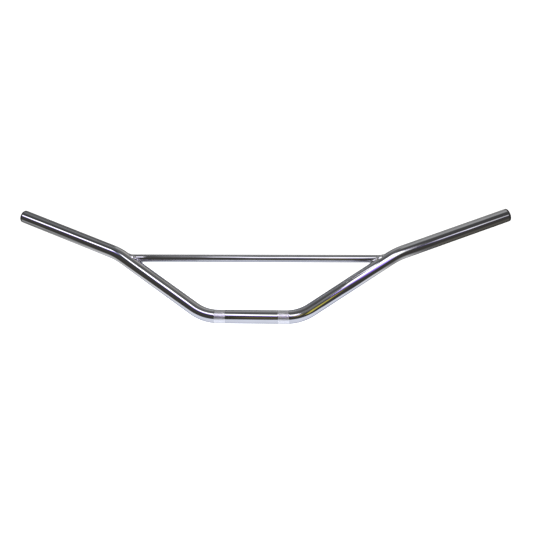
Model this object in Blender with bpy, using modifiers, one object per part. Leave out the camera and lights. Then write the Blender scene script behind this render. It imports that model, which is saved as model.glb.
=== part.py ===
"""Braced motorcycle handlebar: a bent tube, a coped cross brace, two weld beads and two end plugs.

Every part is modelled in the plane of the risers: +X runs along the clamp section, +Z up the
risers and +Y towards the rider. One empty then leans that plane back to the angle at which the
bar is clamped. Its origin is the middle of the clamp section's axis.
"""

import math

import bmesh
import bpy
from mathutils import Quaternion, Vector
from mathutils.geometry import intersect_point_line

# Bent tube
TUBE_RADIUS = 0.0111
TUBE_WALL = 0.0020
LEAN = math.radians(35.0)
CENTRE_HALF = 0.0765
RISER_ANGLE = math.radians(35.0)
RISER_LENGTH = 0.1885
GRIP_LENGTH = 0.2060
GRIP_UPSWEEP = math.radians(23.5)
GRIP_BACKSWEEP = math.radians(8.0)
LOW_BEND_RADIUS = 0.070
HIGH_BEND_RADIUS = 0.110
END_CHAMFER = 0.0004

# Knurled clamp bands, rolled into the tube a little proud of it
KNURL_CENTRE = 0.0510
KNURL_WIDTH = 0.0170
KNURL_HEIGHT = 0.00015
KNURL_SHOULDER = 0.0005

# Cross brace and its welds
BRACE_RADIUS = 0.00635
BRACE_WALL = 0.0015
BRACE_HEIGHT = 0.1005
WELD_RADIUS = 0.0026
WELD_STANDOFF = 0.0006

# End plug
FLANGE_RADIUS = 0.0110
FLANGE_THICKNESS = 0.0025
FLANGE_EDGE = 0.0007
SHANK_CORE_RADIUS = 0.0079
SHANK_RIB_HEIGHT = 0.0008
SHANK_LENGTH = 0.0240
SHANK_WALL = 0.0016
RIB_PITCH = 0.0055
RIB_COUNT = 4

# Gap left between touching pieces, and how far a cutter overshoots what it cuts
GAP = 0.0003
OVERSHOOT = 0.008

# Facets
TUBE_BEVEL_RESOLUTION = 12
BRACE_BEVEL_RESOLUTION = 8
WELD_BEVEL_RESOLUTION = 4
WELD_POINTS = 40
LOW_BEND_STEPS = 10
HIGH_BEND_STEPS = 5
PLUG_STEPS = 28
EDGE_STEPS = 3
HALVINGS = 24
SHARP_ANGLE = math.radians(35.0)
MERGE_DISTANCE = 0.00001

CHROME = {"colour": (0.62, 0.62, 0.63), "roughness": 0.08, "metallic": 1.0}
WELD_CHROME = {"colour": (0.58, 0.58, 0.59), "roughness": 0.18, "metallic": 1.0}
BLACK_PLASTIC = {"colour": (0.02, 0.02, 0.022), "roughness": 0.45, "metallic": 0.0}


def clear_scene():
    """Remove every object that the file starts with."""
    for scene_object in list(bpy.data.objects):
        bpy.data.objects.remove(scene_object, do_unlink=True)


def new_collection(name):
    """Make a collection in the scene."""
    collection = bpy.data.collections.new(name)
    bpy.context.scene.collection.children.link(collection)
    return collection


def new_material(name, look):
    """Make a Principled BSDF material."""
    material = bpy.data.materials.new(name)
    material.use_nodes = True
    shader = material.node_tree.nodes["Principled BSDF"]
    shader.inputs["Base Color"].default_value = (*look["colour"], 1.0)
    shader.inputs["Roughness"].default_value = look["roughness"]
    shader.inputs["Metallic"].default_value = look["metallic"]
    return material


def corner_points():
    """Corners of the right half's centreline, from the middle of the bar to the grip's end."""
    middle = Vector((0.0, 0.0, 0.0))
    low_corner = Vector((CENTRE_HALF, 0.0, 0.0))
    riser = Vector((math.cos(RISER_ANGLE), 0.0, math.sin(RISER_ANGLE)))
    high_corner = low_corner + riser * RISER_LENGTH
    end = high_corner + grip_direction() * GRIP_LENGTH
    return middle, low_corner, high_corner, end


def grip_direction():
    """Unit vector out along the right grip."""
    across = math.cos(GRIP_UPSWEEP) * math.cos(GRIP_BACKSWEEP)
    back = math.cos(GRIP_UPSWEEP) * math.sin(GRIP_BACKSWEEP)
    return Vector((across, back, math.sin(GRIP_UPSWEEP)))


def mirrored(vector):
    """The same point on the other half of the bar."""
    return Vector((-vector.x, vector.y, vector.z))


def bend_arc(before, corner, after, radius, steps):
    """Points of the arc that rounds the corner between two straight runs."""
    to_before = (before - corner).normalized()
    to_after = (after - corner).normalized()
    half_angle = to_before.angle(to_after) / 2
    centre = corner + (to_before + to_after).normalized() * radius / math.sin(half_angle)
    start = corner + to_before * radius / math.tan(half_angle)
    axis = to_after.cross(to_before).normalized()
    sweep = math.pi - 2 * half_angle
    turns = [Quaternion(axis, sweep * step / steps) for step in range(steps + 1)]
    return [centre + turn @ (start - centre) for turn in turns]


def right_centreline(end_inset):
    """Centreline of the right half: a straight, a low bend, the riser, a high bend and the grip."""
    middle, low_corner, high_corner, end = corner_points()
    low_bend = bend_arc(middle, low_corner, high_corner, LOW_BEND_RADIUS, LOW_BEND_STEPS)
    high_bend = bend_arc(low_corner, high_corner, end, HIGH_BEND_RADIUS, HIGH_BEND_STEPS)
    tube_end = end - grip_direction() * end_inset
    return low_bend + high_bend + [tube_end]


def whole_centreline(end_inset):
    """Centreline of the whole bar, from the left end to the right end."""
    right = right_centreline(end_inset)
    left = [mirrored(point) for point in reversed(right)]
    return left + right


def arc_lengths(points):
    """Distance along a path at each of its points."""
    lengths = [0.0]
    for start, end in zip(points, points[1:]):
        lengths.append(lengths[-1] + (end - start).length)
    return lengths


def with_point_at(points, length):
    """The same path with one more point, at a distance along it."""
    lengths = arc_lengths(points)
    after = next(index for index, reached in enumerate(lengths) if reached > length)
    fraction = (length - lengths[after - 1]) / (lengths[after] - lengths[after - 1])
    new_point = points[after - 1].lerp(points[after], fraction)
    return points[:after] + [new_point] + points[after:]


def tube_stations():
    """Points and radii of the bent tube, with a shoulder at each edge of each knurled band."""
    inner_edge = KNURL_CENTRE - KNURL_WIDTH / 2
    outer_edge = KNURL_CENTRE + KNURL_WIDTH / 2
    band_ends = (inner_edge - KNURL_SHOULDER, inner_edge, outer_edge, outer_edge + KNURL_SHOULDER)
    right = [corner_points()[0]] + right_centreline(FLANGE_THICKNESS + GAP)
    for length in band_ends:
        right = with_point_at(right, length)
    chamfer_start = right[-1] - grip_direction() * END_CHAMFER
    right = right[:-1] + [chamfer_start, right[-1]]
    radii = []
    for length in arc_lengths(right):
        on_band = inner_edge - MERGE_DISTANCE < length < outer_edge + MERGE_DISTANCE
        radii.append(TUBE_RADIUS + KNURL_HEIGHT if on_band else TUBE_RADIUS)
    radii[-1] = TUBE_RADIUS - END_CHAMFER
    points = [mirrored(point) for point in reversed(right[1:])] + right[1:]
    return points, list(reversed(radii[1:])) + radii[1:]


def solid_tube(name, points, radii, bevel_resolution, cyclic=False):
    """A closed mesh swept along a path: a curve with a round bevel and filled caps, made a mesh."""
    curve = bpy.data.curves.new(name, "CURVE")
    curve.dimensions = "3D"
    curve.bevel_depth = 1.0
    curve.bevel_resolution = bevel_resolution
    curve.use_fill_caps = True
    spline = curve.splines.new("POLY")
    spline.points.add(len(points) - 1)
    for spline_point, point, radius in zip(spline.points, points, radii):
        spline_point.co = (*point, 1.0)
        spline_point.radius = radius
    spline.use_cyclic_u = cyclic
    curve_object = bpy.data.objects.new(name + "_curve", curve)
    bpy.context.scene.collection.objects.link(curve_object)
    depsgraph = bpy.context.evaluated_depsgraph_get()
    mesh = bpy.data.meshes.new_from_object(curve_object.evaluated_get(depsgraph))
    mesh.name = name
    weld_caps(mesh)
    solid = bpy.data.objects.new(name, mesh)
    solid.matrix_world = curve_object.matrix_world
    bpy.data.objects.remove(curve_object, do_unlink=True)
    return solid


def weld_caps(mesh):
    """Join the loose caps of a converted curve to its walls."""
    shape = bmesh.new()
    shape.from_mesh(mesh)
    bmesh.ops.remove_doubles(shape, verts=shape.verts, dist=MERGE_DISTANCE)
    bmesh.ops.recalc_face_normals(shape, faces=shape.faces)
    shape.to_mesh(mesh)
    shape.free()


def place(piece, collection, parent, material=None):
    """Put a piece in its collection, under the empty that leans the bar back."""
    collection.objects.link(piece)
    piece.parent = parent
    if material:
        piece.data.materials.clear()
        piece.data.materials.append(material)


def smooth(piece):
    """Shade a round piece smooth, apart from its sharp edges."""
    piece.data.shade_smooth()
    piece.data.set_sharp_from_angle(angle=SHARP_ANGLE)


def hide_cutter(cutter):
    """Show a cutter as a wire and keep it out of the renders."""
    cutter.hide_render = True
    cutter.display_type = "WIRE"


def cut(piece, cutter):
    """Subtract a cutter from a piece."""
    boolean = piece.modifiers.new("cut_" + cutter.name, "BOOLEAN")
    boolean.operation = "DIFFERENCE"
    boolean.solver = "EXACT"
    boolean.object = cutter


def make_bar_tube():
    """The bent tube's outer shape, still solid."""
    points, radii = tube_stations()
    return solid_tube("bar_tube", points, radii, TUBE_BEVEL_RESOLUTION)


def make_bore_cutter():
    """The tube's bore, run out past both ends."""
    points = whole_centreline(-OVERSHOOT)
    radii = [TUBE_RADIUS - TUBE_WALL] * len(points)
    return solid_tube("bore_cutter", points, radii, TUBE_BEVEL_RESOLUTION)


def make_bar_clearance():
    """The tube's outside with a gap all round, which copes the brace and trims the welds."""
    points = whole_centreline(0.0)
    radii = [TUBE_RADIUS + GAP] * len(points)
    return solid_tube("bar_clearance", points, radii, TUBE_BEVEL_RESOLUTION)


def brace_half_length():
    """Half the distance between the risers' axes at the brace's height."""
    return CENTRE_HALF + BRACE_HEIGHT / math.tan(RISER_ANGLE)


def straight_across(name, radius, half_length):
    """A straight tube across the bar at the brace's height."""
    ends = [Vector((-half_length, 0.0, BRACE_HEIGHT)), Vector((half_length, 0.0, BRACE_HEIGHT))]
    return solid_tube(name, ends, [radius, radius], BRACE_BEVEL_RESOLUTION)


def make_cross_brace():
    """The brace's outer shape, run to the risers' axes, where the coping cut ends it."""
    return straight_across("cross_brace", BRACE_RADIUS, brace_half_length())


def make_brace_bore_cutter():
    """The brace's bore."""
    length = brace_half_length() + OVERSHOOT
    return straight_across("brace_bore_cutter", BRACE_RADIUS - BRACE_WALL, length)


def make_brace_clearance():
    """The brace's outside with a gap all round, which trims the welds."""
    return straight_across("brace_clearance", BRACE_RADIUS + GAP, brace_half_length())


def distance_to_path(point, path):
    """Shortest distance from a point to a path of straight steps."""
    shortest = math.inf
    for start, end in zip(path, path[1:]):
        foot, fraction = intersect_point_line(point, start, end)
        if fraction < 0.0:
            foot = start
        elif fraction > 1.0:
            foot = end
        shortest = min(shortest, (point - foot).length)
    return shortest


def joint_path():
    """The closed line round the right joint, a standoff outside the brace and the riser.

    Each of its points lies on a line along the brace, and is found there by halving the stretch
    between a place clear of the riser and the riser's axis.
    """
    riser_path = right_centreline(0.0)
    distance_from_brace = BRACE_RADIUS + WELD_STANDOFF
    distance_from_riser = TUBE_RADIUS + WELD_STANDOFF
    points = []
    for index in range(WELD_POINTS):
        angle = 2 * math.pi * index / WELD_POINTS
        y = distance_from_brace * math.cos(angle)
        z = BRACE_HEIGHT + distance_from_brace * math.sin(angle)
        clear = CENTRE_HALF
        inside = brace_half_length()
        for _ in range(HALVINGS):
            middle = (clear + inside) / 2
            if distance_to_path(Vector((middle, y, z)), riser_path) > distance_from_riser:
                clear = middle
            else:
                inside = middle
        points.append(Vector((inside, y, z)))
    return points


def make_weld_bead(name, points):
    """A ring of weld along a joint, before the tubes are cut out of it."""
    radii = [WELD_RADIUS] * len(points)
    return solid_tube(name, points, radii, WELD_BEVEL_RESOLUTION, cyclic=True)


def plug_profile():
    """Radius and height of the plug's outline, from its outer face's centre round to its hollow."""
    flange_back = -FLANGE_THICKNESS
    rib_radius = SHANK_CORE_RADIUS + SHANK_RIB_HEIGHT
    outline = [(0.0, 0.0)]
    for step in range(EDGE_STEPS + 1):
        turn = math.pi / 2 * step / EDGE_STEPS
        radius = FLANGE_RADIUS - FLANGE_EDGE * (1 - math.sin(turn))
        outline.append((radius, -FLANGE_EDGE * (1 - math.cos(turn))))
    outline.append((FLANGE_RADIUS, flange_back))
    outline.append((SHANK_CORE_RADIUS, flange_back))
    for index in range(RIB_COUNT):
        rib_top = flange_back - RIB_PITCH * (index + 0.5)
        outline.append((SHANK_CORE_RADIUS, rib_top))
        outline.append((rib_radius, rib_top))
        outline.append((SHANK_CORE_RADIUS, rib_top - RIB_PITCH * 0.5))
    tip = flange_back - SHANK_LENGTH
    hollow_radius = SHANK_CORE_RADIUS - SHANK_WALL
    outline.append((SHANK_CORE_RADIUS, tip))
    outline.append((hollow_radius, tip))
    outline.append((hollow_radius, flange_back))
    outline.append((0.0, flange_back))
    return outline


def make_end_plug(name):
    """A turned plug along its own Z: a flat flange, a barbed shank and a hollow from behind."""
    shape = bmesh.new()
    corners = [shape.verts.new((radius, 0.0, height)) for radius, height in plug_profile()]
    for first, second in zip(corners, corners[1:]):
        shape.edges.new((first, second))
    mesh = bpy.data.meshes.new(name)
    shape.to_mesh(mesh)
    shape.free()
    plug = bpy.data.objects.new(name, mesh)
    screw = plug.modifiers.new("turn", "SCREW")
    screw.axis = "Z"
    screw.angle = 2 * math.pi
    screw.steps = PLUG_STEPS
    screw.render_steps = PLUG_STEPS
    screw.use_merge_vertices = True
    screw.merge_threshold = MERGE_DISTANCE
    return plug


def seat_plug(plug, end, direction):
    """Stand a plug's outer face at the bar's end, square to the grip."""
    plug.location = end
    plug.rotation_euler = direction.to_track_quat("Z", "Y").to_euler()


def main():
    """Build the handlebar."""
    clear_scene()
    parts = new_collection("handlebar")
    cutters = new_collection("cutters")
    chrome = new_material("chrome", CHROME)
    weld_chrome = new_material("weld_chrome", WELD_CHROME)
    plastic = new_material("black_plastic", BLACK_PLASTIC)

    clamp_frame = bpy.data.objects.new("clamp_frame", None)
    clamp_frame.rotation_euler = (-LEAN, 0.0, 0.0)
    parts.objects.link(clamp_frame)

    bore_cutter = make_bore_cutter()
    bar_clearance = make_bar_clearance()
    brace_bore_cutter = make_brace_bore_cutter()
    brace_clearance = make_brace_clearance()
    for cutter in (bore_cutter, bar_clearance, brace_bore_cutter, brace_clearance):
        place(cutter, cutters, clamp_frame)
        hide_cutter(cutter)

    bar_tube = make_bar_tube()
    place(bar_tube, parts, clamp_frame, chrome)
    cut(bar_tube, bore_cutter)
    smooth(bar_tube)

    cross_brace = make_cross_brace()
    place(cross_brace, parts, clamp_frame, chrome)
    cut(cross_brace, brace_bore_cutter)
    cut(cross_brace, bar_clearance)
    smooth(cross_brace)

    right_joint = joint_path()
    left_joint = [mirrored(point) for point in right_joint]
    for name, joint in (("weld_bead_left", left_joint), ("weld_bead_right", right_joint)):
        weld_bead = make_weld_bead(name, joint)
        place(weld_bead, parts, clamp_frame, weld_chrome)
        cut(weld_bead, bar_clearance)
        cut(weld_bead, brace_clearance)
        smooth(weld_bead)

    right_end = corner_points()[-1]
    right_way = grip_direction()
    ends = (
        ("end_plug_left", mirrored(right_end), mirrored(right_way)),
        ("end_plug_right", right_end, right_way),
    )
    for name, end, direction in ends:
        end_plug = make_end_plug(name)
        place(end_plug, parts, clamp_frame, plastic)
        seat_plug(end_plug, end, direction)


main()
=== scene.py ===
"""Looks of the braced handlebar: chromed tube, knurled clamp bands, brace, welds and end plugs."""
import math

import bmesh
import bpy
from mathutils import Matrix, Quaternion, Vector


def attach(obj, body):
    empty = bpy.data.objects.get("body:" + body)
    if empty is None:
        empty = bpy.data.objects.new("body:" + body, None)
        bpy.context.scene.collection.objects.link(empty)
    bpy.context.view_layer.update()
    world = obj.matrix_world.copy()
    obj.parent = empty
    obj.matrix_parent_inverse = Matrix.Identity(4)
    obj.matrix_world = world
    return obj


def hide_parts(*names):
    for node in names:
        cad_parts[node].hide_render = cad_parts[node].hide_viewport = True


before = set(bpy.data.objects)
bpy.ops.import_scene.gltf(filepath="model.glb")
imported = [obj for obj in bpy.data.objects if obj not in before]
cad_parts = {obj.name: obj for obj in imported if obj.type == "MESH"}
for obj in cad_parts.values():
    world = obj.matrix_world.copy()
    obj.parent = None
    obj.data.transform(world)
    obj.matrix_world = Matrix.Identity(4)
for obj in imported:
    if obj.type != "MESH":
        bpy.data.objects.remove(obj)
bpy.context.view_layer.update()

# ---- Sizes, in metres: the bar as the CAD has it ----
TUBE_RADIUS = 0.0111
TUBE_WALL = 0.0020
LEAN = math.radians(35.0)
CENTRE_HALF = 0.0765
RISER_ANGLE = math.radians(35.0)
RISER_LENGTH = 0.1885
GRIP_LENGTH = 0.2060
GRIP_UPSWEEP = math.radians(23.5)
GRIP_BACKSWEEP = math.radians(8.0)
LOW_BEND_RADIUS = 0.070
HIGH_BEND_RADIUS = 0.110
KNURL_CENTRE = 0.0510
KNURL_WIDTH = 0.0170
BRACE_RADIUS = 0.00635
BRACE_WALL = 0.0015
BRACE_HEIGHT = 0.1005
FLANGE_RADIUS = 0.0110
FLANGE_THICKNESS = 0.0025
SHANK_RADIUS = 0.0079
SHANK_LENGTH = 0.0240
PLUG_GAP = 0.0003

# ---- Fineness of the meshes ----
TUBE_SEGMENTS = 128
LOW_BEND_STEPS = 36
HIGH_BEND_STEPS = 24
GUARD = 0.0010
STRAIGHT_STEP = 0.012
DIRECTION_STEP = 0.0002
TUBE_SHARP = math.radians(50.0)
RIDGE_SHARP = math.radians(60.0)
PLUG_SHARP = math.radians(40.0)

TO_WORLD = Matrix.Rotation(-LEAN, 3, "X")
ACROSS_PLANE = Vector((0.0, 1.0, 0.0))


# ---------------------------------------------------------------- centreline
def grip_direction():
    across = math.cos(GRIP_UPSWEEP) * math.cos(GRIP_BACKSWEEP)
    back = math.cos(GRIP_UPSWEEP) * math.sin(GRIP_BACKSWEEP)
    return Vector((across, back, math.sin(GRIP_UPSWEEP)))


def corner_points():
    low = Vector((CENTRE_HALF, 0.0, 0.0))
    high = low + Vector((math.cos(RISER_ANGLE), 0.0, math.sin(RISER_ANGLE))) * RISER_LENGTH
    end = high + grip_direction() * GRIP_LENGTH
    return Vector((0.0, 0.0, 0.0)), low, high, end


def bend_arc(before, corner, after, radius, steps):
    to_before = (before - corner).normalized()
    to_after = (after - corner).normalized()
    half_angle = to_before.angle(to_after) / 2
    centre = corner + (to_before + to_after).normalized() * radius / math.sin(half_angle)
    start = corner + to_before * radius / math.tan(half_angle)
    axis = to_after.cross(to_before).normalized()
    sweep = math.pi - 2 * half_angle
    turns = [Quaternion(axis, sweep * step / steps) for step in range(steps + 1)]
    return [centre + turn @ (start - centre) for turn in turns]


def right_centreline(end_inset):
    middle, low, high, end = corner_points()
    low_bend = bend_arc(middle, low, high, LOW_BEND_RADIUS, LOW_BEND_STEPS)
    high_bend = bend_arc(low, high, end, HIGH_BEND_RADIUS, HIGH_BEND_STEPS)
    return [middle] + low_bend + high_bend + [end - grip_direction() * end_inset]


class Path:
    """A centreline that gives its point and direction at any distance along it."""

    def __init__(self, points):
        self.points = points
        self.reach = [0.0]
        for start, end in zip(points, points[1:]):
            self.reach.append(self.reach[-1] + (end - start).length)
        self.length = self.reach[-1]

    def at(self, distance):
        distance = min(max(distance, 0.0), self.length)
        index = 1
        while index < len(self.reach) - 1 and self.reach[index] < distance:
            index += 1
        part = (distance - self.reach[index - 1]) / (self.reach[index] - self.reach[index - 1])
        return self.points[index - 1].lerp(self.points[index], part)

    def direction(self, distance):
        ahead, behind = self.at(distance + DIRECTION_STEP), self.at(distance - DIRECTION_STEP)
        return (ahead - behind).normalized()


RIGHT = Path(right_centreline(FLANGE_THICKNESS + PLUG_GAP))


def bar_point(distance):
    """Point on the whole bar's axis, at a signed distance from its middle."""
    point = RIGHT.at(abs(distance))
    return Vector((math.copysign(point.x, distance), point.y, point.z)) if distance else point


def bar_direction(distance):
    way = RIGHT.direction(abs(distance))
    return way if distance >= 0 else Vector((way.x, -way.y, -way.z))


def ring_axes(direction):
    side = (ACROSS_PLANE - direction * ACROSS_PLANE.dot(direction)).normalized()
    return side, direction.cross(side)


# ---------------------------------------------------------------- mesh helpers
def link(name, mesh, material, replaced, body="root"):
    piece = bpy.data.objects.new(name, mesh)
    bpy.context.scene.collection.objects.link(piece)
    mesh.materials.append(material)
    mesh.shade_smooth()
    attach(piece, body)
    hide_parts(*replaced)


def grid_mesh(name, rows, lengths):
    """A closed skin from rings of points, the last joined to the first.

    In the UV map x is metres along, from lengths, and y goes once round each ring.
    """
    count = len(rows[0])
    verts = [TO_WORLD @ point for row in rows for point in row]
    faces = []
    uvs = []
    for i in range(len(rows)):
        j = (i + 1) % len(rows)
        for k in range(count):
            m = (k + 1) % count
            faces.append((i * count + k, i * count + m, j * count + m, j * count + k))
            u0, u1 = lengths[i], lengths[i + 1]
            v0, v1 = k / count, (k + 1) / count
            uvs += [(u0, v0), (u0, v1), (u1, v1), (u1, v0)]
    mesh = bpy.data.meshes.new(name)
    mesh.from_pydata(verts, [], faces)
    layer = mesh.uv_layers.new(name="along")
    for index, uv in enumerate(uvs):
        layer.data[index].uv = uv
    shape = bmesh.new()
    shape.from_mesh(mesh)
    bmesh.ops.recalc_face_normals(shape, faces=shape.faces)
    shape.to_mesh(mesh)
    shape.free()
    return mesh


def ring(centre, direction, radii):
    """Points round an axis, one for each radius given."""
    side, up = ring_axes(direction)
    points = []
    for k, radius in enumerate(radii):
        angle = 2 * math.pi * k / len(radii)
        points.append(centre + side * (radius * math.cos(angle)) + up * (radius * math.sin(angle)))
    return points


# ---------------------------------------------------------------- bar tube
SEAT_DEPTH = 0.00015
SEAT_EDGE = 0.00035
SEAT_CLEAR = 0.0004
RIM_ROUND = 0.0005
RIM_STEPS = 4
BORE_CHAMFER = 0.0003
BORE_HIGH_STEP = 0.006
BORE_LOW_STEP = 0.004


def bend_ends():
    """Distances at which the bends start and end."""
    middle, low, high, end = corner_points()
    low_tangent = LOW_BEND_RADIUS * math.tan(RISER_ANGLE / 2)
    low_start = CENTRE_HALF - low_tangent
    low_end = low_start + LOW_BEND_RADIUS * RISER_ANGLE
    turn = (high - low).angle(end - high)
    high_tangent = HIGH_BEND_RADIUS * math.tan(turn / 2)
    high_start = low_end + RISER_LENGTH - low_tangent - high_tangent
    high_end = high_start + HIGH_BEND_RADIUS * turn
    return low_start, low_end, high_start, high_end


def spread(start, end, step):
    count = max(1, math.ceil((end - start) / step - 1e-6))
    return [start + (end - start) * k / count for k in range(count + 1)]


def outer_stations():
    """Distance and radius of each ring of the right half's outside, and of its rounded rim."""
    low_start, low_end, high_start, high_end = bend_ends()
    inner = KNURL_CENTRE - KNURL_WIDTH / 2
    outer = KNURL_CENTRE + KNURL_WIDTH / 2
    seat = TUBE_RADIUS - SEAT_DEPTH
    stations = [(d, TUBE_RADIUS) for d in spread(0.0, inner - SEAT_EDGE - GUARD, STRAIGHT_STEP)]
    stations += [
        (inner - SEAT_EDGE, TUBE_RADIUS),
        (inner, seat),
        (outer, seat),
        (outer + SEAT_EDGE, TUBE_RADIUS),
        (outer + SEAT_EDGE + GUARD, TUBE_RADIUS),
    ]
    after_seat = max(outer + SEAT_EDGE + GUARD, low_start - GUARD) + SEAT_CLEAR
    low_steps = (low_end - low_start) / LOW_BEND_STEPS
    high_steps = (high_end - high_start) / HIGH_BEND_STEPS
    rim_start = RIGHT.length - RIM_ROUND
    for start, end, step in (
        (after_seat, low_end, low_steps),
        (low_end + GUARD, high_start - GUARD, STRAIGHT_STEP),
        (high_start, high_end, high_steps),
        (high_end + GUARD, rim_start - GUARD, STRAIGHT_STEP),
    ):
        stations += [(d, TUBE_RADIUS) for d in spread(start, end, step)]
    for k in range(RIM_STEPS + 1):
        turn = math.pi / 2 * k / RIM_STEPS
        radius = TUBE_RADIUS - RIM_ROUND * (1 - math.cos(turn))
        stations.append((rim_start + RIM_ROUND * math.sin(turn), radius))
    return stations


def bore_stations():
    """Distance and radius of each ring of the right half's bore, from its mouth inwards."""
    low_start, low_end, high_start, high_end = bend_ends()
    bore = TUBE_RADIUS - TUBE_WALL
    stations = [(RIGHT.length, bore + BORE_CHAMFER), (RIGHT.length - BORE_CHAMFER, bore)]
    stations += [(d, bore) for d in reversed(spread(high_start, high_end, BORE_HIGH_STEP))]
    stations += [(d, bore) for d in reversed(spread(low_start, low_end, BORE_LOW_STEP))]
    stations += [(0.0, bore)]
    return stations


def make_bar(material):
    outside = outer_stations()
    bore = bore_stations()
    both = (
        [(-d, r) for d, r in reversed(outside)][:-1]
        + outside
        + bore
        + [(-d, r) for d, r in reversed(bore)][1:]
    )
    rows = [ring(bar_point(d), bar_direction(d), [r] * TUBE_SEGMENTS) for d, r in both]
    lengths = [d for d, _ in both] + [both[0][0]]
    mesh = grid_mesh("handlebar_tube", rows, lengths)
    mesh.set_sharp_from_angle(angle=TUBE_SHARP)
    link("handlebar_tube", mesh, material, ["bar_tube"])


# ---------------------------------------------------------------- knurled bands
KNURL_ROUND = 60
KNURL_SEGMENTS = 360
KNURL_PITCH = 0.0012
KNURL_STEP = 0.0002
KNURL_FLOOR = 0.01102
KNURL_RAISE = 0.00008
KNURL_FLAT = 2.4
KNURL_FADE = 0.0006
KNURL_INSIDE = 0.01097


def triangle(x):
    return 1.0 - abs(2.0 * (x - math.floor(x)) - 1.0)


def make_knurl(name, centre, material):
    """A sleeve of rolled diamonds, closed by its own inside."""
    half = KNURL_WIDTH / 2
    rows, lengths = [], []
    for d in spread(-half, half, KNURL_STEP):
        edge = min(1.0, (half - abs(d)) / KNURL_FADE)
        radii = []
        for k in range(KNURL_SEGMENTS):
            turn = KNURL_ROUND * k / KNURL_SEGMENTS
            one = triangle(turn + d / KNURL_PITCH)
            other = triangle(turn - d / KNURL_PITCH)
            peak = min(1.0, KNURL_FLAT * min(one, other))
            radii.append(KNURL_FLOOR + KNURL_RAISE * peak * edge)
        rows.append(ring(bar_point(centre + d), bar_direction(centre + d), radii))
        lengths.append(centre + d)
    inside = [KNURL_INSIDE] * KNURL_SEGMENTS
    for d in (half, -half):
        rows.append(ring(bar_point(centre + d), bar_direction(centre + d), inside))
        lengths.append(centre + d)
    lengths.append(centre - half)
    mesh = grid_mesh(name, rows, lengths)
    mesh.set_sharp_from_angle(angle=RIDGE_SHARP)
    link(name, mesh, material, ["bar_tube"])


# ---------------------------------------------------------------- cross brace
BRACE_SEGMENTS = 96
BRACE_SINK = 0.0004
BRACE_SPANS = 24
BRACE_END_SHARE = 0.01
BRACE_UV_HALF = 0.2
HALVINGS = 22


def distance_to_bar(point):
    """Distance from a point to the right half's axis."""
    best = math.inf
    for start, end in zip(RIGHT.points, RIGHT.points[1:]):
        run = end - start
        share = min(1.0, max(0.0, (point - start).dot(run) / run.length_squared))
        best = min(best, (point - start - run * share).length)
    return best


def meet_bar(y, z, reach):
    """How far out along X a line at this height gets before it is within reach of the axis."""
    clear = CENTRE_HALF
    inside = CENTRE_HALF + BRACE_HEIGHT / math.tan(RISER_ANGLE)
    for _ in range(HALVINGS):
        middle = (clear + inside) / 2
        if distance_to_bar(Vector((middle, y, z))) > reach:
            clear = middle
        else:
            inside = middle
    return inside


def make_brace(material):
    inner_shares = [k / BRACE_SPANS for k in range(1, BRACE_SPANS)]
    shares = [0.0, BRACE_END_SHARE] + inner_shares + [1.0 - BRACE_END_SHARE, 1.0]
    reach = TUBE_RADIUS - BRACE_SINK
    ends = []
    for radius in (BRACE_RADIUS, BRACE_RADIUS - BRACE_WALL):
        end = []
        for k in range(BRACE_SEGMENTS):
            angle = 2 * math.pi * k / BRACE_SEGMENTS
            y = radius * math.cos(angle)
            z = BRACE_HEIGHT + radius * math.sin(angle)
            end.append(Vector((meet_bar(y, z, reach), y, z)))
        ends.append(end)
    rows, lengths = [], []
    for end, order in ((ends[0], shares), (ends[1], shares[::-1])):
        for share in order:
            rows.append([Vector((p.x * (2 * share - 1), p.y, p.z)) for p in end])
            lengths.append(BRACE_UV_HALF * (2 * share - 1))
    lengths.append(lengths[0])
    mesh = grid_mesh("brace_tube", rows, lengths)
    mesh.set_sharp_from_angle(angle=TUBE_SHARP)
    link("brace_tube", mesh, material, ["cross_brace"])


# ---------------------------------------------------------------- weld beads
WELD_RINGS = 288
WELD_FACE_STEPS = 14
WELD_LOBES = 11
WELD_LOBE = 0.00038
WELD_BULGE = 0.0011
WELD_CURL = 0.55
WELD_ROOT = 0.0012
WELD_LEG = 0.0030
WELD_TOP_LEG = 0.0008
WELD_LOW_LEG = 0.0006
WELD_HOLLOW = 0.7
WELD_TOP_FLATTEN = 0.9
WELD_LOBE_MEAN = 0.6
WELD_RIPPLE = 0.12
WELD_RIPPLES_EACH = 6
WELD_SWELL = 0.25
WELD_SWELLS = 3
WELD_ARCH = 0.8
WELD_UV_LENGTH = 0.05


def bar_station_near(point):
    """Distance along the right half's axis of the place nearest to a point."""
    best, station = math.inf, 0.0
    for index, (start, end) in enumerate(zip(RIGHT.points, RIGHT.points[1:])):
        run = end - start
        share = min(1.0, max(0.0, (point - start).dot(run) / run.length_squared))
        gap = (point - start - run * share).length
        if gap < best:
            best, station = gap, RIGHT.reach[index] + run.length * share
    return station


def on_bar(station, turn, radius):
    side, up = ring_axes(bar_direction(station))
    return bar_point(station) + (side * math.cos(turn) + up * math.sin(turn)) * radius


def weld_footprint():
    """Where the brace's skin meets the riser's: angles round the brace, and points."""
    angles = [2 * math.pi * k / WELD_RINGS for k in range(WELD_RINGS)]
    foot = []
    for angle in angles:
        y = BRACE_RADIUS * math.cos(angle)
        z = BRACE_HEIGHT + BRACE_RADIUS * math.sin(angle)
        foot.append(Vector((meet_bar(y, z, TUBE_RADIUS), y, z)))
    return angles, foot


def riser_chart(foot):
    """The footprint on the riser's unrolled skin: distance along it, distance round it."""
    chart = []
    for point in foot:
        station = bar_station_near(point)
        side, up = ring_axes(bar_direction(station))
        from_axis = point - bar_point(station)
        turn = math.atan2(from_axis.dot(up), from_axis.dot(side)) % (2 * math.pi)
        chart.append((station, TUBE_RADIUS * turn))
    return chart


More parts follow.
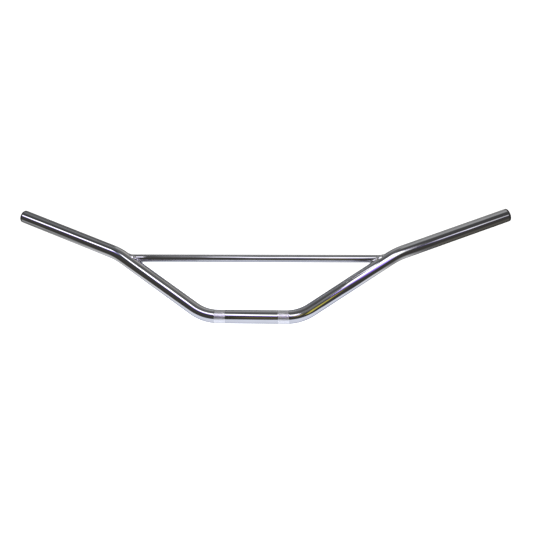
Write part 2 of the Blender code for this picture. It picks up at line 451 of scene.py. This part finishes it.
def weld_height(angle, t, top):
    """How far the bead stands proud at a place across its face, t from 0 to 1."""
    phase = WELD_LOBES * angle / (2 * math.pi) + WELD_CURL * (2 * t - 1) ** 2
    lobe = abs(math.sin(math.pi * phase)) - WELD_LOBE_MEAN
    fine = WELD_RIPPLE * math.sin(WELD_RIPPLES_EACH * math.pi * phase + 1.0)
    swell = WELD_SWELL * math.sin(WELD_SWELLS * angle + 0.7)
    return (WELD_BULGE + WELD_LOBE * (lobe + fine + swell)) * (1.0 - WELD_TOP_FLATTEN * top)


def make_weld(name, sign, material):
    """A fillet between brace and riser: hollow on top, full below, with the lobes it was laid in.

    Each leg is measured square to the footprint, on the brace's skin and on the riser's.
    """
    angles, foot = weld_footprint()
    chart = riser_chart(foot)
    centre = [sum(place[axis] for place in chart) / WELD_RINGS for axis in (0, 1)]
    step = BRACE_RADIUS * 4 * math.pi / WELD_RINGS
    rows = []
    for k, (angle, point) in enumerate(zip(angles, foot)):
        top = max(0.0, math.sin(angle)) ** 2
        low = max(0.0, -math.sin(angle)) ** 2
        brace_leg = WELD_LEG + WELD_TOP_LEG * top
        bar_leg = WELD_LEG + WELD_TOP_LEG * top + WELD_LOW_LEG * low
        before, after = chart[k - 1], chart[(k + 1) % WELD_RINGS]
        run = Vector((after[0] - before[0], after[1] - before[1])).normalized()
        outward = Vector((run.y, -run.x))
        if outward.dot(Vector((chart[k][0] - centre[0], chart[k][1] - centre[1]))) < 0:
            outward = -outward
        station = chart[k][0] + outward.x * bar_leg
        round_bar = (chart[k][1] + outward.y * bar_leg) / TUBE_RADIUS
        on_tube = on_bar(station, round_bar, TUBE_RADIUS)
        along = Vector((foot[(k + 1) % WELD_RINGS].x - foot[k - 1].x, step)).normalized()
        turned = angle + along.x * brace_leg / BRACE_RADIUS
        on_brace = Vector((
            point.x - along.y * brace_leg,
            BRACE_RADIUS * math.cos(turned),
            BRACE_HEIGHT + BRACE_RADIUS * math.sin(turned),
        ))
        from_brace = Vector((0.0, math.cos(angle), math.sin(angle)))
        from_bar = (point - bar_point(chart[k][0])).normalized()
        rise = (from_brace + from_bar).normalized()
        middle = (on_brace + on_tube) / 2
        control = point.lerp(middle, 1.0 - WELD_HOLLOW * top)
        row = []
        for m in range(WELD_FACE_STEPS + 1):
            t = m / WELD_FACE_STEPS
            place = on_brace * (1 - t) ** 2 + control * (2 * t * (1 - t)) + on_tube * t ** 2
            arch = math.sin(math.pi * t) ** WELD_ARCH
            row.append(place + rise * (weld_height(angle, t, top) * arch))
        sunk = 1 - WELD_ROOT / BRACE_RADIUS
        root_z = BRACE_HEIGHT + (point.z - BRACE_HEIGHT) * sunk
        row.append(on_bar(chart[k][0], chart[k][1] / TUBE_RADIUS, TUBE_RADIUS - WELD_ROOT / 2))
        row.append(Vector((point.x, point.y * sunk, root_z)))
        rows.append([Vector((sign * p.x, p.y, p.z)) for p in row])
    lengths = [WELD_UV_LENGTH * k / WELD_RINGS for k in range(WELD_RINGS + 1)]
    mesh = grid_mesh(name, rows, lengths)
    mesh.set_sharp_from_angle(angle=RIDGE_SHARP)
    node = "weld_bead_left" if sign < 0 else "weld_bead_right"
    link(name, mesh, material, [node])


# ---------------------------------------------------------------- end plugs
PLUG_SEGMENTS = 128
PLUG_EDGE = 0.0008
PLUG_EDGE_STEPS = 6
PLUG_BREAK = 0.0002
FLANGE_BREAK = 0.0003
TIP_BREAK = 0.0004
HOLLOW_BREAK = 0.0003
HOLLOW_FLOOR_BREAK = 0.0004
SHANK_WALL = 0.0016
BARBS = 4
BARB_PITCH = 0.0055
BARB_HEIGHT = 0.0008
BARB_CREST = 0.0007
BARB_RISE = 0.0002
BARB_FLAT = 0.0006
BARB_FALL = 0.00275
PLUG_UV_STEP = 0.0004


def plug_face():
    """Radius and depth on the outer face: a gate mark in the middle and a ring groove."""
    gate = [(0.0, -0.00035), (0.0006, -0.0003), (0.0010, -0.00010), (0.0014, 0.0)]
    groove = [(0.0062, 0.0), (0.0064, -0.00005), (0.0066, -0.0003), (0.0071, -0.0003)]
    return gate + groove + [(0.0073, -0.00005), (0.0075, 0.0)]


def plug_outline():
    """Radius and depth, from the outer face's centre round to the hollow behind."""
    line = plug_face()
    for k in range(PLUG_EDGE_STEPS + 1):
        turn = math.pi / 2 * k / PLUG_EDGE_STEPS
        radius = FLANGE_RADIUS - PLUG_EDGE * (1 - math.sin(turn))
        line.append((radius, -PLUG_EDGE * (1 - math.cos(turn))))
    back = -FLANGE_THICKNESS
    line += [(FLANGE_RADIUS, back + FLANGE_BREAK), (FLANGE_RADIUS - PLUG_BREAK, back)]
    line += [(SHANK_RADIUS + PLUG_BREAK, back), (SHANK_RADIUS, back - PLUG_BREAK)]
    for k in range(BARBS):
        top = back - BARB_PITCH * (k + 0.5)
        line += [(SHANK_RADIUS, top), (SHANK_RADIUS + BARB_HEIGHT, top - BARB_RISE)]
        line += [(SHANK_RADIUS + BARB_CREST, top - BARB_FLAT), (SHANK_RADIUS, top - BARB_FALL)]
    tip = back - SHANK_LENGTH
    line += [(SHANK_RADIUS, tip + TIP_BREAK), (SHANK_RADIUS - TIP_BREAK, tip)]
    inside = SHANK_RADIUS - SHANK_WALL
    line += [(inside, tip), (inside, back - HOLLOW_BREAK)]
    line += [(inside - HOLLOW_FLOOR_BREAK, back), (0.0, back)]
    return line


def make_plug(name, sign, material):
    end = corner_points()[-1]
    way = grip_direction()
    side, up = ring_axes(way)
    shape = bmesh.new()
    layer = shape.loops.layers.uv.new("along")
    rings = []
    for radius, depth in plug_outline():
        middle = end + way * depth
        count = 1 if radius == 0.0 else PLUG_SEGMENTS
        loop = []
        for k in range(count):
            angle = 2 * math.pi * k / PLUG_SEGMENTS
            p = middle + side * (radius * math.cos(angle)) + up * (radius * math.sin(angle))
            loop.append(shape.verts.new(TO_WORLD @ Vector((sign * p.x, p.y, p.z))))
        rings.append(loop)
    for i, (a, b) in enumerate(zip(rings, rings[1:])):
        for k in range(PLUG_SEGMENTS):
            m = (k + 1) % PLUG_SEGMENTS
            corners = [a[k % len(a)], a[m % len(a)], b[m % len(b)], b[k % len(b)]]
            face = shape.faces.new(list(dict.fromkeys(corners)))
            for corner in face.loops:
                corner[layer].uv = (PLUG_UV_STEP * i, k / PLUG_SEGMENTS)
    bmesh.ops.recalc_face_normals(shape, faces=shape.faces)
    mesh = bpy.data.meshes.new(name)
    shape.to_mesh(mesh)
    shape.free()
    node = "end_plug_left" if sign < 0 else "end_plug_right"
    link(name, mesh, material, [node])
    mesh.set_sharp_from_angle(angle=PLUG_SHARP)


# ---------------------------------------------------------------- node helpers
def new_material(name):
    material = bpy.data.materials.new(name)
    material.use_nodes = True
    tree = material.node_tree
    tree.nodes.clear()
    out = tree.nodes.new("ShaderNodeOutputMaterial")
    return material, tree, out


def wire(tree, source, target):
    tree.links.new(source, target)


def grey(value):
    return (value, value, value)


def noise(tree, vector, scale, detail, roughness):
    made = tree.nodes.new("ShaderNodeTexNoise")
    made.inputs["Scale"].default_value = scale
    made.inputs["Detail"].default_value = detail
    made.inputs["Roughness"].default_value = roughness
    wire(tree, vector, made.inputs["Vector"])
    return made.outputs["Fac"]


def remap(tree, value, low, high, to_low, to_high):
    made = tree.nodes.new("ShaderNodeMapRange")
    wire(tree, value, made.inputs["Value"])
    made.inputs["From Min"].default_value = low
    made.inputs["From Max"].default_value = high
    made.inputs["To Min"].default_value = to_low
    made.inputs["To Max"].default_value = to_high
    return made.outputs["Result"]


def ramp(tree, value, stops):
    made = tree.nodes.new("ShaderNodeValToRGB")
    elements = made.color_ramp.elements
    while len(elements) < len(stops):
        elements.new(0.5)
    for element, (place, colour) in zip(elements, stops):
        element.position = place
        element.color = (*colour, 1.0)
    wire(tree, value, made.inputs["Fac"])
    return made.outputs["Color"]


def stretched(tree, scale):
    """The along-the-tube UV, stretched so that a texture runs lengthwise."""
    uv = tree.nodes.new("ShaderNodeUVMap")
    uv.uv_map = "along"
    mapping = tree.nodes.new("ShaderNodeMapping")
    mapping.inputs["Scale"].default_value = scale
    wire(tree, uv.outputs["UV"], mapping.inputs["Vector"])
    return mapping.outputs["Vector"]


def object_vector(tree):
    coordinates = tree.nodes.new("ShaderNodeTexCoord")
    return coordinates.outputs["Object"]


def bump(tree, height, distance, normal=None):
    made = tree.nodes.new("ShaderNodeBump")
    made.inputs["Strength"].default_value = 1.0
    made.inputs["Distance"].default_value = distance
    wire(tree, height, made.inputs["Height"])
    if normal:
        wire(tree, normal, made.inputs["Normal"])
    return made.outputs["Normal"]


# ---------------------------------------------------------------- materials
def darker(colour, share):
    return tuple(share * c for c in colour)


def chrome(name, colour, rough_low, rough_high, wave, streak, scratch):
    """Chrome plate over a polished tube: long polishing lines, slight waviness and fine wear.

    wave, streak and scratch are the bumps' depths in metres.
    """
    material, tree, out = new_material(name)
    shader = tree.nodes.new("ShaderNodeBsdfPrincipled")
    shader.inputs["Metallic"].default_value = 1.0
    space = object_vector(tree)
    cloud = noise(tree, space, scale=38.0, detail=4.0, roughness=0.55)
    tint = ramp(tree, cloud, [(0.35, darker(colour, 0.93)), (0.65, colour)])
    wire(tree, tint, shader.inputs["Base Color"])
    wear = stretched(tree, (60.0, 22.0, 1.0))
    fine = noise(tree, wear, scale=5.0, detail=6.0, roughness=0.65)
    rough = remap(tree, fine, 0.3, 0.75, rough_low, rough_high)
    wire(tree, rough, shader.inputs["Roughness"])
    polish = stretched(tree, (9.0, 30.0, 1.0))
    lines = noise(tree, polish, scale=1.6, detail=3.0, roughness=0.5)
    normal = bump(tree, lines, streak)
    waves = noise(tree, space, scale=22.0, detail=1.0, roughness=0.4)
    normal = bump(tree, waves, wave, normal=normal)
    marks = noise(tree, space, scale=900.0, detail=2.0, roughness=0.6)
    normal = bump(tree, marks, scratch, normal=normal)
    wire(tree, normal, shader.inputs["Normal"])
    wire(tree, shader.outputs["BSDF"], out.inputs["Surface"])
    return material


def knurl_chrome(name, colour):
    """Chrome over rolled diamonds: the same plate, frosted by the rolling."""
    material, tree, out = new_material(name)
    shader = tree.nodes.new("ShaderNodeBsdfPrincipled")
    shader.inputs["Metallic"].default_value = 1.0
    space = object_vector(tree)
    grain = noise(tree, space, scale=420.0, detail=4.0, roughness=0.6)
    tint = ramp(tree, grain, [(0.3, darker(colour, 0.86)), (0.7, colour)])
    wire(tree, tint, shader.inputs["Base Color"])
    wire(tree, remap(tree, grain, 0.3, 0.7, 0.34, 0.42), shader.inputs["Roughness"])
    frost = noise(tree, space, scale=1500.0, detail=3.0, roughness=0.6)
    wire(tree, bump(tree, frost, 0.00002), shader.inputs["Normal"])
    wire(tree, shader.outputs["BSDF"], out.inputs["Surface"])
    return material


def weld_chrome(name, colour):
    """Chrome over a weld left as it was laid: finely pitted, with blotches less bright."""
    material, tree, out = new_material(name)
    shader = tree.nodes.new("ShaderNodeBsdfPrincipled")
    shader.inputs["Metallic"].default_value = 1.0
    space = object_vector(tree)
    blotch = noise(tree, space, scale=260.0, detail=4.0, roughness=0.6)
    tint = ramp(tree, blotch, [(0.32, darker(colour, 0.78)), (0.68, colour)])
    wire(tree, tint, shader.inputs["Base Color"])
    wire(tree, remap(tree, blotch, 0.3, 0.7, 0.05, 0.14), shader.inputs["Roughness"])
    pits = noise(tree, space, scale=420.0, detail=3.0, roughness=0.6)
    wire(tree, bump(tree, pits, 0.00005), shader.inputs["Normal"])
    wire(tree, shader.outputs["BSDF"], out.inputs["Surface"])
    return material


def black_plastic(name):
    """Moulded plastic with a fine grain and paler patches."""
    material, tree, out = new_material(name)
    shader = tree.nodes.new("ShaderNodeBsdfPrincipled")
    space = object_vector(tree)
    grain = noise(tree, space, scale=2600.0, detail=3.0, roughness=0.6)
    patch = noise(tree, space, scale=300.0, detail=3.0, roughness=0.5)
    tint = ramp(tree, patch, [(0.3, (0.010, 0.010, 0.011)), (0.75, (0.028, 0.028, 0.030))])
    wire(tree, tint, shader.inputs["Base Color"])
    wire(tree, remap(tree, grain, 0.3, 0.7, 0.32, 0.5), shader.inputs["Roughness"])
    wire(tree, bump(tree, grain, 0.00005), shader.inputs["Normal"])
    wire(tree, shader.outputs["BSDF"], out.inputs["Surface"])
    return material


# ---------------------------------------------------------------- stage
def glow_material(name, strength, along=None, across=None, one_sided=False):
    """A card's own light. along and across are colour stops over its length and its height.

    A one-sided card is clear in front of its faces and glows behind them.
    """
    material, tree, out = new_material(name)
    glow = tree.nodes.new("ShaderNodeEmission")
    glow.inputs["Strength"].default_value = strength
    if along or across:
        uv = tree.nodes.new("ShaderNodeUVMap")
        uv.uv_map = "card"
        parts = tree.nodes.new("ShaderNodeSeparateXYZ")
        wire(tree, uv.outputs["UV"], parts.inputs["Vector"])
        colours = []
        for axis, stops in (("X", along), ("Y", across)):
            if stops:
                colours.append(ramp(tree, parts.outputs[axis], stops))
        if len(colours) == 2:
            product = tree.nodes.new("ShaderNodeVectorMath")
            product.operation = "MULTIPLY"
            wire(tree, colours[0], product.inputs[0])
            wire(tree, colours[1], product.inputs[1])
            colours = [product.outputs["Vector"]]
        wire(tree, colours[0], glow.inputs["Color"])
    if one_sided:
        side = tree.nodes.new("ShaderNodeNewGeometry")
        clear = tree.nodes.new("ShaderNodeBsdfTransparent")
        mix = tree.nodes.new("ShaderNodeMixShader")
        wire(tree, side.outputs["Backfacing"], mix.inputs["Fac"])
        wire(tree, clear.outputs["BSDF"], mix.inputs[1])
        wire(tree, glow.outputs["Emission"], mix.inputs[2])
        wire(tree, mix.outputs["Shader"], out.inputs["Surface"])
    else:
        wire(tree, glow.outputs["Emission"], out.inputs["Surface"])
    return material


def stage_mesh(name, verts, faces, material, uvs=None, camera=False, glossy=True):
    mesh = bpy.data.meshes.new(name)
    mesh.from_pydata(verts, [], faces)
    if uvs:
        layer = mesh.uv_layers.new(name="card")
        for polygon in mesh.polygons:
            for index in polygon.loop_indices:
                layer.data[index].uv = uvs[mesh.loops[index].vertex_index]
    card = bpy.data.objects.new(name, mesh)
    bpy.context.scene.collection.objects.link(card)
    mesh.materials.append(material)
    card.visible_camera = camera
    card.visible_glossy = glossy
    card.visible_shadow = False
    return card


def ribbon(name, y, knots, material):
    """A strip light facing the bar: knots are x and z of its middle line, its width and its slant."""
    verts, uvs, faces = [], [], []
    for k, (x, z, width, slant) in enumerate(knots):
        across = Vector((0.0, z, -y)).normalized()
        for sign, v in ((-1, 0.0), (1, 1.0)):
            point = Vector((x - sign * slant / 2, y, z)) + across * (sign * width / 2)
            verts.append(point)
            uvs.append((k / (len(knots) - 1), v))
    for k in range(len(knots) - 1):
        faces.append((2 * k, 2 * k + 1, 2 * k + 3, 2 * k + 2))
    stage_mesh(name, verts, faces, material, uvs)


def upright_card(name, y, columns, material):
    """A standing card; columns are x and the heights of its lower and upper edge."""
    verts, uvs, faces = [], [], []
    for k, (x, low, high) in enumerate(columns):
        verts += [(x, y, low), (x, y, high)]
        uvs += [(k / (len(columns) - 1), 0.0), (k / (len(columns) - 1), 1.0)]
    for k in range(len(columns) - 1):
        faces.append((2 * k, 2 * k + 2, 2 * k + 3, 2 * k + 1))
    stage_mesh(name, verts, faces, material, uvs)


def flat_card(name, corners, strength, material_name):
    stage_mesh(name, corners, [(0, 1, 2, 3)], glow_material(material_name, strength))


def card_in_front(name, left, right, low, high, colour):
    """A card on the camera's side, fading to black at both ends."""
    black = grey(0.0)
    stops = [(0.0, black), (0.3, colour), (0.7, colour), (1.0, black)]
    stage_mesh(
        name,
        [(left, BENCH_Y, low), (right, BENCH_Y, low), (right, BENCH_Y, high), (left, BENCH_Y, high)],
        [(0, 1, 2, 3)],
        glow_material(name + "_light", 1.0, along=stops),
        uvs=[(0, 0), (1, 0), (1, 1), (0, 1)],
    )


FLOOR_REACH, FLOOR_LEVEL = 7.0, -0.30
BACKDROP_RADIUS = 6.5
TABLE_LEVEL, TABLE_BACK = -0.12, 1.6
TABLE_LEFT, TABLE_RIGHT, TABLE_SKEW = -1.0, 0.8, 0.25
STRIP_Y, GAP_Y, WINDOW_Y, BENCH_Y = -0.8, -1.2, -0.6, -0.5
BRACE_STRIP_Y, BRACE_SHADE_Y = 0.0208, 0.0205
CEILING_HEIGHT = 1.2


def make_floor():
    """Self-lit pale floor, seen by the camera only."""
    pale, tree, out = new_material("pale_floor")
    shader = tree.nodes.new("ShaderNodeBsdfPrincipled")
    shader.inputs["Roughness"].default_value = 0.9
    grain = noise(tree, object_vector(tree), scale=3.0, detail=2.0, roughness=0.5)
    wire(tree, ramp(tree, grain, [(0.3, grey(0.86)), (0.7, grey(0.9))]), shader.inputs["Base Color"])
    shader.inputs["Emission Color"].default_value = (1.0, 1.0, 1.0, 1.0)
    shader.inputs["Emission Strength"].default_value = 1.0
    wire(tree, shader.outputs["BSDF"], out.inputs["Surface"])
    reach, level = FLOOR_REACH, FLOOR_LEVEL
    floor = stage_mesh(
        "floor",
        [(-reach, -reach, level), (reach, -reach, level), (reach, reach, level), (-reach, reach, level)],
        [(0, 1, 2, 3)], pale, camera=True, glossy=False,
    )
    floor.visible_diffuse = False


def make_backdrop():
    """White sphere behind everything, seen by the camera only."""
    mesh = bpy.data.meshes.new("backdrop")
    shape = bmesh.new()
    bmesh.ops.create_uvsphere(shape, u_segments=48, v_segments=24, radius=BACKDROP_RADIUS)
    bmesh.ops.reverse_faces(shape, faces=shape.faces)
    shape.to_mesh(mesh)
    shape.free()
    mesh.materials.append(glow_material("backdrop_white", 1.05))
    backdrop = bpy.data.objects.new("backdrop", mesh)
    bpy.context.scene.collection.objects.link(backdrop)
    backdrop.visible_glossy = False
    backdrop.visible_diffuse = False
    backdrop.visible_shadow = False
    backdrop.visible_transmission = False


def make_table():
    """White table that the chrome reflects: cool in the middle, falling off to both sides."""
    cool = (0.85, 0.88, 1.0)
    table = glow_material(
        "table_white", 1.26,
        along=[
            (0.0, grey(0.12)), (0.05, grey(0.16)), (0.10, grey(0.40)), (0.14, grey(0.38)),
            (0.19, grey(0.26)), (0.24, grey(0.34)), (0.28, (0.56, 0.56, 0.54)),
            (0.33, (0.90, 0.90, 0.92)), (0.44, cool), (0.74, cool), (0.79, grey(0.80)),
            (0.809, grey(0.38)), (0.83, grey(0.15)), (0.86, (0.125, 0.12, 0.10)),
            (1.0, (0.105, 0.10, 0.085)),
        ],
        across=[
            (0.0, grey(0.1)), (0.02, grey(0.95)), (0.06, grey(1.0)), (0.127, grey(0.92)),
            (0.165, grey(0.64)), (0.25, grey(0.57)), (1.0, grey(0.52)),
        ],
    )
    front_edge = [
        (TABLE_LEFT, -0.08), (-0.6, -0.08), (-0.5, -0.12), (-0.4, -0.17), (-0.3, -0.215),
        (-0.1, -0.235), (0.1, -0.235), (0.25, -0.22), (0.30, -0.16), (0.36, -0.075),
        (0.5, -0.085), (TABLE_RIGHT, -0.09),
    ]
    width = TABLE_RIGHT - TABLE_LEFT
    verts, uvs, faces = [], [], []
    for x, front in front_edge:
        verts += [(x, front, TABLE_LEVEL), (x, TABLE_BACK, TABLE_LEVEL)]
        for y, share in ((front, 0.0), (TABLE_BACK, 1.0)):
            uvs.append(((x + TABLE_SKEW * (y + 0.1) - TABLE_LEFT) / width, share))
    for k in range(len(front_edge) - 1):
        faces.append((2 * k, 2 * k + 2, 2 * k + 3, 2 * k + 1))
    stage_mesh("table_card", verts, faces, table, uvs)


def make_strips():
    """Strip lights above the camera's side, violet along their lower edge."""
    across = [
        (0.0, (0.05, 0.035, 0.10)), (0.10, (0.16, 0.10, 0.38)), (0.20, (0.40, 0.28, 0.95)),
        (0.30, (0.82, 0.75, 1.0)), (0.36, grey(1.0)), (0.62, grey(1.0)), (0.70, (0.32, 0.30, 0.38)),
        (0.80, grey(0.08)), (1.0, grey(0.03)),
    ]
    # The dark stretch is what the left high bend shows
    main = glow_material(
        "strip_main", 3.1, across=across,
        along=[
            (0.0, grey(1.0)), (0.27, grey(1.0)), (0.315, (0.12, 0.15, 0.15)),
            (0.39, (0.09, 0.12, 0.12)), (0.42, grey(1.0)), (1.0, grey(1.0)),
        ],
    )
    ribbon(
        "strip_left", STRIP_Y,
        [
            (-2.4, 1.27, 0.66, 0.0), (-1.6, 1.24, 0.66, 0.0), (-1.4, 1.22, 0.66, 0.0),
            (-1.25, 1.27, 0.62, 0.0), (-1.1, 1.28, 0.66, 0.0), (-0.9, 1.24, 0.70, 0.0),
            (-0.67, 1.19, 0.78, 0.0), (-0.516, 1.18, 0.90, 0.0), (-0.395, 1.17, 0.96, 0.0),
            (-0.31, 1.12, 0.96, 0.0), (-0.2, 0.96, 0.88, 0.0), (-0.14, 0.88, 0.84, 0.0),
            (-0.08, 0.83, 0.80, 0.0), (0.02, 0.75, 0.76, 0.06), (0.09, 0.68, 0.60, 0.20),
        ],
        main,
    )
    # The right strip stops over the right high bend
    ending = glow_material(
        "strip_ending", 2.9, across=across,
        along=[
            (0.0, grey(0.7)), (0.05, grey(1.0)), (0.66, grey(1.0)), (0.80, grey(0.6)),
            (1.0, grey(0.05)),
        ],
    )
    ribbon(
        "strip_right", STRIP_Y,
        [
            (0.225, 1.02, 1.10, 0.62), (0.42, 1.12, 1.20, 0.24), (0.53, 0.96, 0.88, 0.0),
            (0.645, 0.84, 0.81, 0.0), (0.76, 0.70, 0.80, 0.0), (0.85, 0.52, 0.75, 0.0),
            (0.92, 0.42, 0.50, 0.0),
        ],
        ending,
    )
    gap = glow_material(
        "strip_gap_light", 0.30, across=[(0.0, grey(0.5)), (0.5, grey(0.8)), (1.0, grey(1.3))],
    )
    ribbon("strip_gap", GAP_Y, [(0.0, 1.12, 1.1, 0.0), (0.5, 1.18, 1.1, 0.0)], gap)
    weak = glow_material(
        "window_weak", 2.2,
        along=[
            (0.0, grey(0.0)), (0.25, grey(0.62)), (0.5, grey(1.0)), (0.75, grey(0.55)),
            (1.0, grey(0.38)),
        ],
        across=[
            (0.0, (0.05, 0.05, 0.08)), (0.28, (0.16, 0.14, 0.28)), (0.40, (0.85, 0.80, 1.0)),
            (0.62, grey(1.0)), (0.72, grey(0.36)), (1.0, grey(0.08)),
        ],
    )
    ribbon(
        "window_right", WINDOW_Y,
        [
            (0.78, 0.50, 0.20, 0.0), (0.86, 0.43, 0.34, 0.0), (0.97, 0.41, 0.34, 0.0),
            (1.11, 0.41, 0.34, 0.0), (1.3, 0.41, 0.34, 0.0),
        ],
        weak,
    )


def make_brace_cards():
    """Small cards close in front of the brace, which catches them; they hide the strips."""
    over_brace = glow_material(
        "brace_strip_light", 2.3,
        along=[
            (0.0, grey(0.05)), (0.167, grey(0.30)), (0.333, grey(0.55)), (0.5, grey(0.80)),
            (0.667, grey(0.92)), (1.0, grey(0.86)),
        ],
        across=[
            (0.0, (0.10, 0.08, 0.16)), (0.06, (0.34, 0.26, 0.66)), (0.12, (0.9, 0.86, 1.0)),
            (0.22, grey(1.0)), (0.70, grey(1.0)), (0.85, (0.5, 0.52, 0.62)),
            (1.0, (0.10, 0.10, 0.12)),
        ],
        one_sided=True,
    )
    upright_card(
        "brace_strip", BRACE_STRIP_Y,
        [
            (-0.195, 0.140, 0.160), (-0.135, 0.131, 0.163), (-0.10, 0.121, 0.161),
            (-0.072, 0.112, 0.157), (-0.006, 0.100, 0.149), (0.175, 0.098, 0.147),
            (0.196, 0.104, 0.147),
        ],
        over_brace,
    )
    dim = glow_material(
        "brace_shade_light", 0.13,
        across=[(0.0, (1.0, 1.0, 0.95)), (1.0, (1.0, 1.0, 1.08))], one_sided=True,
    )
    upright_card(
        "brace_shade", BRACE_SHADE_Y,
        [
            (-0.198, 0.110, 0.24), (-0.17, 0.104, 0.26), (-0.15, 0.095, 0.26),
            (0.175, 0.095, 0.26), (0.196, 0.102, 0.26),
        ],
        dim,
    )


def make_room_cards():
    """Warm things on the bench, a paler ceiling on the right, and shelves behind the grips."""
    card_in_front("bench_left", -0.12, 0.05, -0.03, 0.06, (0.19, 0.165, 0.055))
    card_in_front("bench_middle", 0.06, 0.2, 0.13, 0.24, (0.62, 0.54, 0.17))
    card_in_front("bench_right", 0.24, 0.45, -0.025, 0.19, (0.80, 0.70, 0.13))
    over = CEILING_HEIGHT
    flat_card(
        "ceiling_card",
        [(0.24, 0.05, over), (0.9, 0.05, over), (0.9, 0.6, over), (0.24, 0.6, over)],
        0.50, "ceiling_right",
    )
    flat_card(
        "shelf_right",
        [(0.14, 0.9, 1.12), (0.7, 0.9, 1.12), (0.7, 0.9, 1.5), (0.14, 0.9, 1.5)],
        0.20, "shelf_dim",
    )
    flat_card(
        "shelf_left",
        [(-0.8, 0.35, 0.3), (-0.27, 0.35, 0.3), (-0.27, 0.35, 0.75), (-0.8, 0.35, 0.75)],
        0.17, "shelf_left_dim",
    )


def make_stage():
    """Floor and backdrop for the camera, and the glowing cards that only the chrome sees."""
    make_floor()
    make_backdrop()
    make_table()
    make_strips()
    make_brace_cards()
    make_room_cards()


MIX_COLOUR_A, MIX_COLOUR_B, MIX_COLOUR_OUT = 6, 7, 2


def make_world():
    """Dim room round the strips: dark on the camera's side, paler behind, dimmer to the left."""
    world = bpy.data.worlds.new("studio")
    bpy.context.scene.world = world
    world.use_nodes = True
    tree = world.node_tree
    tree.nodes.clear()
    out = tree.nodes.new("ShaderNodeOutputWorld")
    background = tree.nodes.new("ShaderNodeBackground")
    coordinates = tree.nodes.new("ShaderNodeTexCoord")
    parts = tree.nodes.new("ShaderNodeSeparateXYZ")
    wire(tree, coordinates.outputs["Generated"], parts.inputs["Vector"])
    behind = tree.nodes.new("ShaderNodeMapRange")
    behind.interpolation_type = "SMOOTHSTEP"
    wire(tree, parts.outputs["Y"], behind.inputs["Value"])
    behind.inputs["From Min"].default_value = -0.20
    behind.inputs["From Max"].default_value = 0.45
    height = remap(tree, parts.outputs["Z"], -1.0, 1.0, 0.0, 1.0)
    front = ramp(tree, height, [
        (0.0, (0.06, 0.058, 0.052)), (0.5, (0.072, 0.068, 0.062)), (0.93, grey(0.085)),
        (0.97, grey(0.11)), (1.0, grey(0.20)),
    ])
    back = ramp(tree, height, [
        (0.0, grey(0.07)), (0.46, grey(0.09)), (0.52, grey(0.16)), (0.70, grey(0.20)),
        (0.78, grey(0.36)), (0.86, (0.58, 0.58, 0.59)), (0.965, (0.57, 0.57, 0.58)), (0.99, grey(0.22)),
    ])
    sideways = remap(tree, parts.outputs["X"], -1.0, 1.0, 0.0, 1.0)
    lean = ramp(tree, sideways, [
        (0.30, (0.51, 0.52, 0.53)), (0.42, grey(0.82)), (0.5, (0.93, 0.93, 0.91)),
        (0.62, (1.04, 1.0, 0.92)),
    ])
    leaning = tree.nodes.new("ShaderNodeVectorMath")
    leaning.operation = "MULTIPLY"
    wire(tree, back, leaning.inputs[0])
    wire(tree, lean, leaning.inputs[1])
    tone = tree.nodes.new("ShaderNodeMix")
    tone.data_type = "RGBA"
    wire(tree, behind.outputs["Result"], tone.inputs["Factor"])
    wire(tree, front, tone.inputs[MIX_COLOUR_A])
    wire(tree, leaning.outputs["Vector"], tone.inputs[MIX_COLOUR_B])
    wire(tree, tone.outputs[MIX_COLOUR_OUT], background.inputs["Color"])
    background.inputs["Strength"].default_value = 1.0
    wire(tree, background.outputs["Background"], out.inputs["Surface"])


# ---------------------------------------------------------------- camera
CAMERA_PLACE = Vector((0.13813, -1.13812, 0.36418))
CAMERA_AIM = Vector((0.02290, 0.02147, 0.07767))
CAMERA_ROLL = math.radians(-1.161)
CAMERA_LENS = 50.687
CAMERA_SENSOR = 36.0


def make_camera():
    data = bpy.data.cameras.new("camera")
    data.lens = CAMERA_LENS
    data.sensor_width = CAMERA_SENSOR
    data.clip_start = 0.01
    data.clip_end = 100.0
    camera = bpy.data.objects.new("camera", data)
    bpy.context.scene.collection.objects.link(camera)
    camera.location = CAMERA_PLACE
    aim = (CAMERA_AIM - CAMERA_PLACE).to_track_quat("-Z", "Y")
    camera.rotation_mode = "QUATERNION"
    camera.rotation_quaternion = aim @ Quaternion((0.0, 0.0, 1.0), CAMERA_ROLL)
    bpy.context.scene.camera = camera


def main():
    view = bpy.context.scene.view_settings
    view.view_transform = "Standard"
    view.look = "None"
    plate = chrome(
        "tube_chrome", (0.60, 0.605, 0.625), rough_low=0.03, rough_high=0.075,
        wave=0.00006, streak=0.00004, scratch=0.0000006,
    )
    brace_plate = chrome(
        "brace_chrome", (0.58, 0.585, 0.605), rough_low=0.04, rough_high=0.085,
        wave=0.00004, streak=0.00004, scratch=0.0000003,
    )
    frosted = knurl_chrome("knurl_chrome", (0.88, 0.88, 0.89))
    beads = weld_chrome("weld_chrome_plate", (0.80, 0.80, 0.82))
    plastic = black_plastic("moulded_plastic")
    make_bar(plate)
    make_knurl("knurl_band_left", -KNURL_CENTRE, frosted)
    make_knurl("knurl_band_right", KNURL_CENTRE, frosted)
    make_brace(brace_plate)
    make_weld("brace_weld_left", -1, beads)
    make_weld("brace_weld_right", 1, beads)
    make_plug("bar_end_left", -1, plastic)
    make_plug("bar_end_right", 1, plastic)
    make_stage()
    make_world()
    make_camera()


main()
